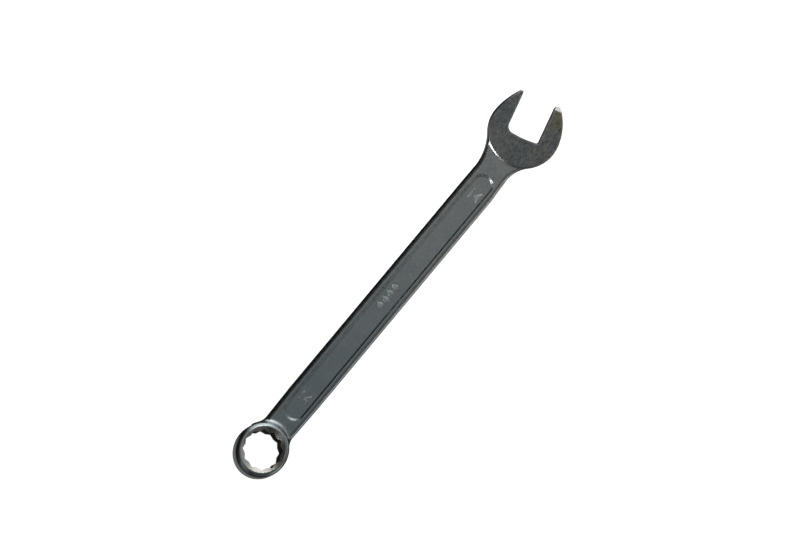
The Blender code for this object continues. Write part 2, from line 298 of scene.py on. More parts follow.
def tool_outline():
    """The outer outline of neck, shank and open end, as if the mouth were filled."""
    rise = RING_NECK_HALF + RING_NECK_FILLET
    run = math.sqrt((RING_NECK_EYE + RING_NECK_FILLET) ** 2 - rise**2)
    contact = math.atan2(rise, run)
    half = SHANK_HALF_WIDTH
    centre_x, centre_y = HEAD_CENTRE
    lower_run, lower_turn = neck_fillet(HEAD_NECK_LOWER, HEAD_FILLET_LOWER, -centre_y)
    upper_run, upper_turn = neck_fillet(HEAD_NECK_UPPER, HEAD_FILLET_UPPER, centre_y)
    lower_start = (centre_x - lower_run, -HEAD_NECK_LOWER)
    upper_start = (centre_x - upper_run, HEAD_NECK_UPPER)
    lower_jaw, lower_tip, lower_inner = jaw_runs(
        -1, LOWER_JAW_START, LOWER_JAW_RADIUS, LOWER_JAW_REACH
    )
    upper_jaw, upper_tip, upper_inner = jaw_runs(
        1, UPPER_JAW_START, UPPER_JAW_RADIUS, UPPER_JAW_REACH
    )
    lower_root = arc_run((run, -rise), RING_NECK_FILLET, math.pi - contact, math.pi / 2)
    upper_root = arc_run((run, rise), RING_NECK_FILLET, -math.pi / 2, contact - math.pi)
    runs = [
        lower_root,
        line_run((run, -RING_NECK_HALF), (FULL_WIDTH_START_X, -half)),
        line_run((FULL_WIDTH_START_X, -half), (FULL_WIDTH_END_X, -half)),
        line_run((FULL_WIDTH_END_X, -half), lower_start),
        arc_run(
            (lower_start[0], lower_start[1] - HEAD_FILLET_LOWER),
            HEAD_FILLET_LOWER,
            math.pi / 2,
            lower_turn,
        ),
        arc_run(HEAD_CENTRE, HEAD_RADIUS, lower_turn - math.pi, HEAD_TURN - LOWER_JAW_START),
        lower_jaw,
        lower_tip,
        line_run(lower_inner, upper_inner),
        upper_tip,
        upper_jaw,
        arc_run(HEAD_CENTRE, HEAD_RADIUS, HEAD_TURN + UPPER_JAW_START, math.pi - upper_turn),
        arc_run(
            (upper_start[0], upper_start[1] + HEAD_FILLET_UPPER),
            HEAD_FILLET_UPPER,
            -upper_turn,
            -math.pi / 2,
        ),
        line_run(upper_start, (FULL_WIDTH_END_X, half)),
        line_run((FULL_WIDTH_END_X, half), (FULL_WIDTH_START_X, half)),
        line_run((FULL_WIDTH_START_X, half), (run, RING_NECK_HALF)),
        upper_root,
        line_run(point_on(upper_root, True)[0], point_on(lower_root, False)[0]),
    ]
    return runs


OUTLINE = tool_outline()


# ---------------------------------------------------------------- the steel as a distance

def forged_unevenness(x, y, z):
    """The slow waviness that a forging keeps under its plating."""
    waves = np.sin(0.83 * x + 1.7 * np.sin(0.51 * y + 0.3)) * np.sin(0.77 * y + 0.4 * z + 1.1)
    waves = waves + 0.6 * np.sin(1.9 * x - 1.3 * y + 0.9) * np.sin(1.1 * y + 0.7 * x + 2.0 * z)
    return FORGED_WAVINESS * waves


def bar_and_head(x, y, z):
    """Shank, neck and open end before anything is cut: an outline with rounded edges."""
    along = smooth_step(x, PARTING_HEAD_X, PARTING_HEAD_X + HEAD_EDGE_BLEND)
    edge = SHANK_EDGE_ROUND + (HEAD_EDGE_ROUND - SHANK_EDGE_ROUND) * along
    from_step = np.hypot(x - STEP_CENTRE[0], y - STEP_CENTRE[1])
    lift = smooth_step(-from_step, -STEP_START_RADIUS, -STEP_END_RADIUS)
    half_height = SHANK_HALF_HEIGHT + (HEAD_FORGED_HALF_HEIGHT - SHANK_HALF_HEIGHT) * lift
    flash = FLASH_LINE_HEIGHT * np.exp(-((z / FLASH_LINE_SPREAD) ** 2))
    out = outline_distance(OUTLINE, x, y) - flash + edge
    up = np.abs(z) - half_height + edge
    inside = np.minimum(np.maximum(out, up), 0.0)
    return inside + np.hypot(np.maximum(out, 0.0), np.maximum(up, 0.0)) - edge


def panel(x, y, z):
    """Both recesses of the shank: round-ended, with sloping walls and a filleted floor."""
    start = PANEL_START_X + PANEL_HALF_WIDTH
    end = PANEL_END_X - PANEL_HALF_WIDTH
    across = np.hypot(x - np.clip(x, start, end), y) - PANEL_HALF_WIDTH
    height = np.abs(z) - SHANK_HALF_HEIGHT
    slope = math.hypot(PANEL_DEPTH, PANEL_WALL_RUN)
    wall = (PANEL_DEPTH * across - PANEL_WALL_RUN * height) / slope
    return round_overlap(wall, -PANEL_DEPTH - height, PANEL_FLOOR_FILLET)


def in_ring(x, y, z):
    """Coordinates along and across the tilted ring, from its middle."""
    rise = z - RING_CENTRE_Z
    along = x * math.cos(RING_TILT) - rise * math.sin(RING_TILT)
    up = x * math.sin(RING_TILT) + rise * math.cos(RING_TILT)
    return along, y, up


def ring_body(along, across, up):
    """A barrel with a straight band, curved shoulders and a rounded rim."""
    run = RING_RADIUS - RING_RIM_RADIUS
    rise = RING_HALF_HEIGHT - RING_BAND_HALF_HEIGHT
    shoulder = (run**2 + rise**2) / (2 * run)
    out = np.hypot(along / RING_LENGTHENING, across) - RING_RADIUS + shoulder
    over = np.abs(up) - RING_BAND_HALF_HEIGHT
    inside = np.minimum(np.maximum(out, over), 0.0)
    barrel = inside + np.hypot(np.maximum(out, 0.0), np.maximum(over, 0.0)) - shoulder
    return round_overlap(barrel, np.abs(up) - RING_HALF_HEIGHT, RING_RIM_ROUND)


def hexagon(x, y, turn):
    """Signed distance, near its flats, to a hexagon of the bore."""
    sides = [turn + math.pi / 6 + math.pi / 3 * i for i in range(3)]
    return np.maximum.reduce([
        np.abs(x * math.cos(side) + y * math.sin(side)) for side in sides
    ]) - HALF_JAW


def star(along, across):
    """The bore's 12 points: two hexagons 30 degrees apart."""
    turned = BORE_TURN + math.pi / 6
    return np.minimum(hexagon(along, across, BORE_TURN), hexagon(along, across, turned))


def bore_entry(radius, depth, entry_radius, slope):
    """A cone that opens the bore, from its radius at the rim. Depth is measured from the rim."""
    return (radius - entry_radius) * math.sin(slope) + depth * math.cos(slope)


def bore_entries(along, across, up):
    """The cones at both ends of the bore, as oval as the ring."""
    radius = np.hypot(along / RING_LENGTHENING, across)
    front = bore_entry(radius, RING_HALF_HEIGHT - up, BORE_FRONT_RADIUS, BORE_FRONT_SLOPE)
    back = bore_entry(radius, RING_HALF_HEIGHT + up, BORE_BACK_RADIUS, BORE_BACK_SLOPE)
    return np.minimum(front, back)


def bore(along, across, up):
    """The 12-point bore, opened by a cone at each end."""
    return np.minimum(star(along, across), bore_entries(along, across, up))


def in_head(x, y):
    """Coordinates out of and across the mouth, from the head's middle."""
    c = math.cos(HEAD_TURN)
    s = math.sin(HEAD_TURN)
    dx = x - HEAD_CENTRE[0]
    dy = y - HEAD_CENTRE[1]
    return dx * c + dy * s, dy * c - dx * s


def jaw_slot(x, y):
    """The mouth: parallel jaws, and a throat that bows away from the nut."""
    u, v = in_head(x, y)
    throat_radius = (HALF_JAW**2 + THROAT_BOW**2) / (2 * THROAT_BOW)
    throat = np.hypot(u - throat_radius + THROAT_DEPTH, v) - throat_radius
    corner = np.where(v > 0.0, THROAT_UPPER_CORNER, THROAT_LOWER_CORNER)
    return round_overlap(np.abs(v) - HALF_JAW, throat, corner)


def tip_facet(x, y, z):
    """The small facet that takes the corner off the lower jaw's tip, front and back."""
    u, v = in_head(x, y)
    beyond = (u - TIP_FACET_START) * math.sin(TIP_FACET_SLOPE)
    facet = beyond + (np.abs(z) - GROUND_HALF_HEIGHT) * math.cos(TIP_FACET_SLOPE)
    return np.where(v < 0.0, facet, -HEAD_RADIUS)


def steel(x, y, z):
    """Signed distance to the skin of the whole tool, in millimetres."""
    along, across, up = in_ring(x, y, z)
    forged = bar_and_head(x, y, z) + forged_unevenness(x, y, z)
    forged = round_overlap(forged, -panel(x, y, z), PANEL_RIM_ROUND)
    behind = -up - RING_HALF_HEIGHT + RING_BACK_CLEARANCE
    forged = np.where(x < PARTING_RING_X, np.maximum(forged, behind), forged)
    ring = ring_body(along, across, up) + forged_unevenness(x, y, z) / 2
    forged = round_union(forged, ring, RING_ROOT_FILLET)
    # The ring's root is trimmed at the surface that the tool lies on.
    cut = np.maximum(forged, -GROUND_HALF_HEIGHT - z)
    cut = np.maximum(cut, -bore(along, across, up))
    faces = np.maximum(np.abs(z) - GROUND_HALF_HEIGHT, tip_facet(x, y, z))
    ground = np.maximum(forged, faces)
    ground = np.maximum(ground, -jaw_slot(x, y))
    return np.where(x < (PARTING_RING_X + PARTING_HEAD_X) / 2, cut, ground)


# ---------------------------------------------------------------- dual contouring

def crossings(points_in, points_out, values_in, values_out):
    """Where the skin crosses the segments between two sets of points, and its direction."""
    for _ in range(CROSSING_STEPS):
        share = (values_in / (values_in - values_out))[:, None]
        points = points_in + share * (points_out - points_in)
        values = steel(*points.T)
        within = (values < 0.0)[:, None]
        points_in = np.where(within, points, points_in)
        points_out = np.where(within, points_out, points)
        values_in = np.where(within[:, 0], values, values_in)
        values_out = np.where(within[:, 0], values_out, np.maximum(values, TINY))
        values_in = np.minimum(values_in, -TINY)
    share = (values_in / (values_in - values_out))[:, None]
    points = points_in + share * (points_out - points_in)
    slopes = []
    for axis in range(3):
        step = np.zeros(3)
        step[axis] = GRADIENT_STEP
        slopes.append(steel(*(points + step).T) - steel(*(points - step).T))
    normals = np.stack(slopes, axis=1)
    normals /= np.maximum(np.linalg.norm(normals, axis=1, keepdims=True), TINY)
    return points, normals


def contour(low, high, cell):
    """Vertices and quads of the skin inside a box, one vertex in each cell that it crosses."""
    counts = [int(math.ceil((b - a) / cell)) + 1 for a, b in zip(low, high)]
    axes = [low[i] + cell * np.arange(counts[i]) for i in range(3)]
    values = steel(axes[0][:, None, None], axes[1][None, :, None], axes[2][None, None, :])
    inside = values < 0.0
    shape = np.array(counts)
    edges = []
    for axis in range(3):
        first = [slice(None)] * 3
        second = [slice(None)] * 3
        first[axis] = slice(None, -1)
        second[axis] = slice(1, None)
        change = inside[tuple(first)] != inside[tuple(second)]
        nodes = np.argwhere(change)
        ahead = nodes.copy()
        ahead[:, axis] += 1
        points = [np.array([axes[i][grid[:, i]] for i in range(3)]).T for grid in (nodes, ahead)]
        node_values = values[tuple(nodes.T)]
        ahead_values = values[tuple(ahead.T)]
        leaving = inside[tuple(nodes.T)]
        pick = leaving[:, None]
        place, normal = crossings(
            np.where(pick, points[0], points[1]),
            np.where(pick, points[1], points[0]),
            np.where(leaving, node_values, ahead_values),
            np.where(leaving, ahead_values, node_values),
        )
        edges.append((axis, nodes, leaving, place, normal))
    corners, all_places, all_normals = [], [], []
    for axis, nodes, leaving, place, normal in edges:
        one, two = [(1, 2), (2, 0), (0, 1)][axis]
        ring = []
        for shift_one, shift_two in ((0, 0), (1, 0), (1, 1), (0, 1)):
            home = nodes.copy()
            home[:, one] -= shift_one
            home[:, two] -= shift_two
            ring.append(np.ravel_multi_index(home.T, shape))
        quads = np.stack(ring, axis=1)
        corners.append(np.where(leaving[:, None], quads, quads[:, ::-1]))
        all_places.append(place)
        all_normals.append(normal)
    corners = np.concatenate(corners)
    places = np.concatenate(all_places)
    normals = np.concatenate(all_normals)
    homes, quads = np.unique(corners, return_inverse=True)
    quads = quads.reshape(-1, 4)
    return settle(homes, quads, places, normals, np.array(low), cell, shape), quads


def settle(homes, quads, places, normals, low, cell, shape):
    """The point of each cell that lies best on all the planes that cross the cell's edges."""
    amount = len(homes)
    flat = quads.reshape(-1)
    repeat = np.repeat(np.arange(len(places)), 4)
    number = np.bincount(flat, minlength=amount)
    middle = np.stack(
        [np.bincount(flat, places[repeat, i], minlength=amount) for i in range(3)], axis=1
    ) / number[:, None]
    offset = np.einsum("ij,ij->i", normals[repeat], places[repeat] - middle[flat])
    matrix = np.zeros((amount, 3, 3))
    target = np.zeros((amount, 3))
    for i in range(3):
        target[:, i] = np.bincount(flat, normals[repeat, i] * offset, minlength=amount)
        for j in range(3):
            product = normals[repeat, i] * normals[repeat, j]
            matrix[:, i, j] = np.bincount(flat, product, minlength=amount)
    matrix += PULL_TO_MIDDLE * np.eye(3)
    moved = np.linalg.solve(matrix, target[:, :, None])[:, :, 0]
    base = low + cell * np.stack(np.unravel_index(homes, shape), axis=1)
    return np.clip(middle + moved, base - CELL_SLACK * cell, base + (1 + CELL_SLACK) * cell)


def split_quads(points, quads):
    """Triangles, with each quad cut along the diagonal that lies closer to the skin."""
    middle_a = (points[quads[:, 0]] + points[quads[:, 2]]) / 2
    middle_b = (points[quads[:, 1]] + points[quads[:, 3]]) / 2
    first = (np.abs(steel(*middle_a.T)) <= np.abs(steel(*middle_b.T)))[:, None]
    one = np.where(first, quads[:, [0, 1, 2]], quads[:, [0, 1, 3]])
    two = np.where(first, quads[:, [0, 2, 3]], quads[:, [1, 2, 3]])
    return np.concatenate([one, two])


# ---------------------------------------------------------------- meshes

def to_frame(points):
    """Millimetres along the tool as metres in the frame."""
    return np.asarray(points) * MM + np.array(ORIGIN)


def whole_skin():
    """The skin of the tool as one mesh in the frame, with rows of points along both partings."""
    points, quads = contour(GRID_LOW, GRID_HIGH, CELL)
    triangles = split_quads(points, quads)
    mesh = bpy.data.meshes.new("whole_skin")
    mesh.from_pydata(to_frame(points).tolist(), [], triangles.tolist())
    form = bmesh.new()
    form.from_mesh(mesh)
    for x in (PARTING_RING_X, PARTING_HEAD_X):
        bmesh.ops.bisect_plane(
            form,
            geom=form.verts[:] + form.edges[:] + form.faces[:],
            dist=PARTING_TOLERANCE,
            plane_co=(ORIGIN.x + x * MM, 0.0, 0.0),
            plane_no=(1.0, 0.0, 0.0),
        )
    bmesh.ops.triangulate(form, faces=[face for face in form.faces if len(face.verts) > 3])
    form.to_mesh(mesh)
    form.free()
    mesh.shade_smooth()
    mesh.set_sharp_from_angle(angle=SHARP_ANGLE)
    return mesh


def read(collection, name, width, kind):
    """One property of a whole mesh collection as an array."""
    values = np.empty(len(collection) * width, dtype=kind)
    collection.foreach_get(name, values)
    return values.reshape(-1, width) if width > 1 else values


def boundary_loops(triangles):
    """Closed runs of the edges that only one triangle has, in the order that a cap needs."""
    sides = np.concatenate([triangles[:, [0, 1]], triangles[:, [1, 2]], triangles[:, [2, 0]]])
    forward = {(int(a), int(b)) for a, b in sides}
    open_sides = {b: a for a, b in forward if (b, a) not in forward}
    loops = []
    while open_sides:
        start, here = open_sides.popitem()
        loop = [start]
        while here != start:
            loop.append(here)
            here = open_sides.pop(here)
        loops.append(loop)
    return loops


def is_ground(x, y, z):
    """Whether the skin is one of the open end's two ground faces."""
    return (x > PARTING_HEAD_X) & (np.abs(np.abs(z) - GROUND_HALF_HEIGHT) < FINISH_TOLERANCE)


def is_broached(x, y, z):
    """Whether the skin is a wall of the 12-point bore."""
    return (x < PARTING_RING_X) & (np.abs(star(*in_ring(x, y, z)[:2])) < FINISH_TOLERANCE)


def is_machined(x, y, z):
    """Whether the skin was cut by a tool: the bore's cones, the jaws and the throat."""
    in_bore = (x < PARTING_RING_X) & (np.abs(bore(*in_ring(x, y, z))) < FINISH_TOLERANCE)
    in_mouth = (x > PARTING_HEAD_X) & (np.abs(jaw_slot(x, y)) < FINISH_TOLERANCE)
    return (in_bore | in_mouth) & ~is_broached(x, y, z)


FINISHES = {"ground": is_ground, "broached": is_broached, "machined": is_machined}


def sharpness(points, outward):
    """How far each point of the skin is from flat: above 0 on an edge and below 0 in a corner."""
    below = (points - np.array(ORIGIN)) / MM - EDGE_PROBE * outward
    return 1.0 + steel(*below.T) / EDGE_PROBE


def cut_piece(name, skin, low_x, high_x):
    """The part of the skin between two planes across the tool, closed by flat caps."""
    points = read(skin.vertices, "co", 3, np.float32)
    triangles = read(skin.loops, "vertex_index", 1, np.int32).reshape(-1, 3)
    normals = read(skin.corner_normals, "vector", 3, np.float32).reshape(-1, 3, 3)
    middle = (points[triangles, 0].mean(axis=1) - ORIGIN.x) / MM
    chosen = (middle > low_x) & (middle < high_x)
    used, own = np.unique(triangles[chosen], return_inverse=True)
    own = own.reshape(-1, 3)
    caps = boundary_loops(own)
    mesh = bpy.data.meshes.new(name)
    mesh.from_pydata(points[used].tolist(), [], own.tolist() + caps)
    mesh.shade_smooth()
    corner_normals = normals[chosen].reshape(-1, 3).tolist()
    for polygon in list(mesh.polygons)[len(own):]:
        corner_normals += [tuple(polygon.normal)] * polygon.loop_total
    mesh.normals_split_custom_set(corner_normals)
    centres = (points[triangles[chosen]].mean(axis=1) - np.array(ORIGIN)) / MM
    for finish, has_finish in FINISHES.items():
        mask = np.append(has_finish(*centres.T), np.zeros(len(caps)))
        layer = mesh.attributes.new(finish, "FLOAT", "FACE")
        layer.data.foreach_set("value", mask.astype(np.float32))
    outward = read(skin.vertex_normals, "vector", 3, np.float32)[used]
    layer = mesh.attributes.new("edge", "FLOAT", "POINT")
    layer.data.foreach_set("value", sharpness(points[used], outward).astype(np.float32))
    piece = bpy.data.objects.new(name, mesh)
    bpy.context.scene.collection.objects.link(piece)
    return piece


def forged_pieces():
    skin = whole_skin()
    pieces = [
        cut_piece("ring_forging", skin, -FAR, PARTING_RING_X),
        cut_piece("shank_forging", skin, PARTING_RING_X, PARTING_HEAD_X),
        cut_piece("head_forging", skin, PARTING_HEAD_X, FAR),
    ]
    bpy.data.meshes.remove(skin)
    return pieces


# ---------------------------------------------------------------- raised marks

MARK_HEIGHT = 0.4
MARK_SINK = 0.1
MARK_EDGE = 0.18
MARK_SPREAD = -0.05
MARK_RUB = 0.3
SIZE_TEXT = "14"
SIZE_TEXT_SCALE = 5.9
RING_SIZE_MARK = (26.8, 0.3)
HEAD_SIZE_MARK = (131.4, -0.2)
LOZENGE_COUNT = 4
LOZENGE_START_X = 74.6
LOZENGE_PITCH = 3.0
LOZENGE_Y = 0.3
LOZENGE_HALF_LENGTH = 1.05
LOZENGE_HALF_WIDTH = 1.9


def place_mark(curve, name, x, y, turn):
    """A flat curve as a raised mark with soft edges, standing on the floor of the front panel."""
    curve.fill_mode = "BOTH"
    curve.extrude = (MARK_HEIGHT + MARK_SINK) / 2 * MM - MARK_EDGE * MM
    curve.bevel_depth = MARK_EDGE * MM
    curve.bevel_resolution = 2
    curve.offset = MARK_SPREAD * MM
    drawn = bpy.data.objects.new(name, curve)
    bpy.context.scene.collection.objects.link(drawn)
    bpy.context.view_layer.update()
    graph = bpy.context.evaluated_depsgraph_get()
    mesh = bpy.data.meshes.new_from_object(drawn.evaluated_get(graph))
    bpy.data.objects.remove(drawn, do_unlink=True)
    floor_z = SHANK_HALF_HEIGHT - PANEL_DEPTH
    middle_z = floor_z + (MARK_HEIGHT - MARK_SINK) / 2
    mesh.transform(
        Matrix.Translation(to_frame((x, y, middle_z))) @ Matrix.Rotation(turn, 4, "Z")
    )
    form = bmesh.new()
    form.from_mesh(mesh)
    bmesh.ops.remove_doubles(form, verts=form.verts, dist=1e-6)
    bmesh.ops.recalc_face_normals(form, faces=form.faces)
    form.to_mesh(mesh)
    form.free()
    mesh.shade_smooth()
    mesh.set_sharp_from_angle(angle=SHARP_ANGLE)
    layer = mesh.attributes.new("edge", "FLOAT", "POINT")
    layer.data.foreach_set("value", [MARK_RUB] * len(mesh.vertices))
    mark = bpy.data.objects.new(name, mesh)
    bpy.context.scene.collection.objects.link(mark)
    return mark


def size_mark(name, place):
    """The size that the tool is taken for, read across the shank with the open end upwards."""
    text = bpy.data.curves.new(name, "FONT")
    text.body = SIZE_TEXT
    text.size = SIZE_TEXT_SCALE * MM
    text.align_x = "CENTER"
    text.align_y = "CENTER"
    text.resolution_u = 4
    return place_mark(text, name, *place, -math.pi / 2)


def lozenge_mark(name, x):
    """One of a row of plain lozenges, where the photo shows a mark that can't be read."""
    curve = bpy.data.curves.new(name, "CURVE")
    curve.dimensions = "2D"
    spline = curve.splines.new("POLY")
    spline.points.add(3)
    corners = (
        (LOZENGE_HALF_LENGTH, 0.0),
        (0.0, LOZENGE_HALF_WIDTH),
        (-LOZENGE_HALF_LENGTH, 0.0),
        (0.0, -LOZENGE_HALF_WIDTH),
    )
    for point, (along, across) in zip(spline.points, corners):
        point.co = (along * MM, across * MM, 0.0, 1.0)
    spline.use_cyclic_u = True
    return place_mark(curve, name, x, LOZENGE_Y, 0.0)


def raised_marks():
    marks = [
        size_mark("size_mark_ring_end", RING_SIZE_MARK),
        size_mark("size_mark_open_end", HEAD_SIZE_MARK),
    ]
    for i in range(LOZENGE_COUNT):
        x = LOZENGE_START_X + LOZENGE_PITCH * i
        marks.append(lozenge_mark("plain_mark_" + str(i + 1), x))
    return marks


# ---------------------------------------------------------------- materials

FORGED_RING_END = (0.305, 0.365, 0.39, 1.0)
FORGED_OPEN_END = (0.48, 0.5, 0.49, 1.0)
GROUND_COOL = (0.205, 0.226, 0.232, 1.0)
GROUND_WARM = (0.235, 0.248, 0.236, 1.0)
MACHINED_COOL = (0.44, 0.45, 0.45, 1.0)
MACHINED_WARM = (0.47, 0.465, 0.44, 1.0)
# Near-black bore walls: painted shade for the inside of the bore.
BORE_PAINTED_SHADE_COOL = (0.035, 0.035, 0.035, 1.0)
BORE_PAINTED_SHADE_WARM = (0.06, 0.058, 0.05, 1.0)
# Dims the bore walls' glancing reflection: painted shade.
BORE_GLANCE_PAINTED_SHADE = (0.35, 0.35, 0.34, 1.0)
WORN_COLOUR = (0.72, 0.73, 0.72, 1.0)
STAIN_COLOUR = (0.29, 0.275, 0.18, 1.0)
STAIN = (93.0, -5.0, 6.6)
WORN_ROUGHNESS = 0.6
WEAR_SHARE = 0.65
CUT_WEAR = 0.35
FORGED_RELIEF = 0.012
GROUND_RELIEF = 0.012
MACHINED_RELIEF = 0.006


def add_node(tree, kind, inputs=None, **settings):
    node = tree.nodes.new(kind)
    for name, value in settings.items():
        setattr(node, name, value)
    for name, value in (inputs or {}).items():
        if isinstance(value, bpy.types.NodeSocket):
            tree.links.new(value, node.inputs[name])
        else:
            node.inputs[name].default_value = value
    return node


def maths(tree, operation, first, second=0.0):
    return add_node(tree, "ShaderNodeMath", {0: first, 1: second}, operation=operation).outputs[0]


def ramp(tree, value, low, high, from_low=0.0, from_high=1.0, kind="SMOOTHSTEP"):
    """A value carried from one range to another, smoothly unless told otherwise."""
    inputs = {"Value": value, 1: from_low, 2: from_high, 3: low, 4: high}
    mapped = add_node(tree, "ShaderNodeMapRange", inputs, interpolation_type=kind)
    return mapped.outputs["Result"]


def mix(tree, share, first, second, kind="FLOAT"):
    sockets = {"FLOAT": (0, 2, 3, 0), "RGBA": (0, 6, 7, 2)}[kind]
    inputs = {sockets[0]: share, sockets[1]: first, sockets[2]: second}
    return add_node(tree, "ShaderNodeMix", inputs, data_type=kind).outputs[sockets[3]]


def noise(tree, place, scale, detail=3.0, roughness=0.5, stretch=None):
    """Noise whose features are about 1 / scale millimetres across, or longer where stretched."""
    if stretch:
        turn, scales = stretch
        inputs = {"Vector": place, "Rotation": (0.0, 0.0, turn), "Scale": scales}
        place = add_node(tree, "ShaderNodeMapping", inputs).outputs["Vector"]
    inputs = {"Vector": place, "Scale": scale, "Detail": detail, "Roughness": roughness}
    return add_node(tree, "ShaderNodeTexNoise", inputs).outputs["Fac"]


def attribute(tree, name):
    return add_node(tree, "ShaderNodeAttribute", attribute_name=name).outputs["Fac"]


def scaled(tree, colour, amount):
    """A colour or a place, multiplied by one amount."""
    inputs = {0: colour, "Scale": amount}
    return add_node(tree, "ShaderNodeVectorMath", inputs, operation="SCALE").outputs["Vector"]


def forged_look(tree, place, patches):
    """Satin plating over a forged skin: cloudy, faintly rubbed, lighter towards the open end."""
    rub = noise(tree, place, 2.0, 3.0, 0.6, (-0.25, (0.1, 1.4, 1.0)))
    mottle = noise(tree, place, 1.1, 5.0, 0.65)
    x = add_node(tree, "ShaderNodeSeparateXYZ", {"Vector": place}).outputs["X"]
    share = maths(tree, "ADD", ramp(tree, x, 0.0, 0.8, -70.0, 75.0), ramp(tree, patches, 0.0, 0.2))
    colour = mix(tree, share, FORGED_RING_END, FORGED_OPEN_END, "RGBA")
    colour = scaled(tree, colour, ramp(tree, mottle, 0.9, 1.1, 0.3, 0.7))
    rough = ramp(tree, mottle, 0.24, 0.31, 0.3, 0.7)
    rough = maths(tree, "ADD", rough, ramp(tree, rub, -0.03, 0.03))
    return colour, rough, maths(tree, "MULTIPLY", mottle, FORGED_RELIEF * MM)


def ground_look(tree, place, patches):
    """Ground steel: short crossing scratches, blue-grey patches and an oily stain at one tip."""
    one_way = noise(tree, place, 1.6, 5.0, 0.8, (-0.5, (0.5, 1.4, 1.0)))
    other_way = noise(tree, place, 1.6, 5.0, 0.8, (0.8, (0.5, 1.4, 1.0)))
    grain = maths(tree, "ADD", one_way, other_way)
    colour = mix(tree, patches, GROUND_COOL, GROUND_WARM, "RGBA")
    away = add_node(tree, "ShaderNodeVectorMath", {0: place, 1: STAIN}, operation="DISTANCE")
    stain = ramp(tree, away.outputs["Value"], 0.8, 0.0, 2.0, 10.0)
    colour = mix(tree, stain, colour, STAIN_COLOUR, "RGBA")
    colour = scaled(tree, colour, ramp(tree, grain, 0.5, 1.5, 0.75, 1.25))
    rough = ramp(tree, grain, 0.34, 0.5, 0.75, 1.25)
    return colour, rough, maths(tree, "MULTIPLY", grain, GROUND_RELIEF * MM)


def broached_lines_painted_shade_look(tree, place, patches):
    """Bore walls: thinly plated, lines along the broach's way, near-black painted shade."""
    lines = noise(tree, place, 3.0, 2.0, 0.6, (0.0, (1.2, 1.2, 0.1)))
    colour = mix(tree, patches, BORE_PAINTED_SHADE_COOL, BORE_PAINTED_SHADE_WARM, "RGBA")
    colour = scaled(tree, colour, ramp(tree, lines, 0.75, 1.25, 0.3, 0.7))
    rough = ramp(tree, lines, 0.3, 0.45, 0.3, 0.7)
    return colour, rough, maths(tree, "MULTIPLY", lines, MACHINED_RELIEF * MM)


def machined_look(tree, place, patches):
    """Turned and milled steel under the plating: fine lines along the cut."""
    lines = noise(tree, place, 3.5, 2.0, 0.6, (0.4, (1.2, 1.2, 0.12)))
    colour = mix(tree, patches, MACHINED_COOL, MACHINED_WARM, "RGBA")
    colour = scaled(tree, colour, ramp(tree, lines, 0.85, 1.15, 0.3, 0.7))
    rough = ramp(tree, lines, 0.22, 0.32, 0.3, 0.7)
    return colour, rough, maths(tree, "MULTIPLY", lines, MACHINED_RELIEF * MM)


def steel_finish(name):
    """Plated forged steel, with its ground, cut and worn places, and painted shade in the bore.

    Every pattern depends on the place in the frame, so it runs on over the parting planes.
    """
    material = bpy.data.materials.new(name)
    material.use_nodes = True
    tree = material.node_tree
    shader = tree.nodes["Principled BSDF"]
    frame_place = add_node(tree, "ShaderNodeTexCoord").outputs["Object"]
    place = scaled(tree, frame_place, 1 / MM)
    patches = ramp(tree, noise(tree, place, 0.13, 4.0, 0.6), 0.0, 1.0, 0.35, 0.65)
    colour, rough, relief = forged_look(tree, place, patches)
    looks = {"ground": ground_look, "broached": broached_lines_painted_shade_look, "machined": machined_look}
    for finish, look in looks.items():
        mask = attribute(tree, finish)
        own_colour, own_rough, own_relief = look(tree, place, patches)
        colour = mix(tree, mask, colour, own_colour, "RGBA")
        rough = mix(tree, mask, rough, own_rough)
        relief = mix(tree, mask, relief, own_relief)
    rubbed = ramp(tree, noise(tree, place, 0.7, 4.0, 0.7), 0.25, 1.0, 0.4, 0.6)
    edges = ramp(tree, attribute(tree, "edge"), 0.0, WEAR_SHARE, 0.05, 0.25)
    cut = maths(tree, "ADD", attribute(tree, "ground"), attribute(tree, "machined"))
    edges = maths(tree, "MULTIPLY", edges, ramp(tree, cut, 1.0, CUT_WEAR))
    wear = maths(tree, "MULTIPLY", edges, rubbed)
    broached = attribute(tree, "broached")
    wear = mix(tree, broached, wear, 0.0)
    # The bore walls' glancing reflection is dimmed: painted shade.
    bore_glance_painted_shade = mix(tree, broached, (1.0, 1.0, 1.0, 1.0), BORE_GLANCE_PAINTED_SHADE, "RGBA")
    colour = mix(tree, wear, colour, WORN_COLOUR, "RGBA")
    rough = mix(tree, wear, rough, WORN_ROUGHNESS)
    bump = add_node(tree, "ShaderNodeBump", {"Height": relief, "Strength": 1.0, "Distance": 1.0})
    tree.links.new(colour, shader.inputs["Base Color"])
    tree.links.new(rough, shader.inputs["Roughness"])
    tree.links.new(bore_glance_painted_shade, shader.inputs["Specular Tint"])
    tree.links.new(bump.outputs["Normal"], shader.inputs["Normal"])
    shader.inputs["Metallic"].default_value = 1.0
    return material


# ---------------------------------------------------------------- camera, light and floor

# The camera was fitted to the outline in the photo. The glow of the room and the lights were tuned
# by sampling until the steel looked close to the photo: the real room isn't known.
CAMERA_ROLL = math.radians(50.157)
CAMERA_LEAN_X = math.radians(0.171)
CAMERA_LEAN_Y = math.radians(4.602)
CAMERA_DISTANCE = 1.4
CAMERA_LENS = 158.99
CAMERA_SHIFT = (0.0053, 0.0075)
LOOK_AT = Vector((0.0, 0.0, 0.0035))
SENSOR_WIDTH = 36.0
CLIP_START = 0.01
FLOOR_SIZE = 6.0
FLOOR_COLOUR = (0.9, 0.9, 0.9, 1.0)
FLOOR_ROUGHNESS = 0.9
FLOOR_GLOW = 0.95
SIDE_LIGHT_SPREAD = math.radians(30.0)
ZENITH_COLOUR = (0.97, 0.99, 1.0, 1.0)
HORIZON_COLOUR = (1.0, 0.955, 0.9, 1.0)
AHEAD_GAIN = 1.2
AHEAD_GLOW = 1.6
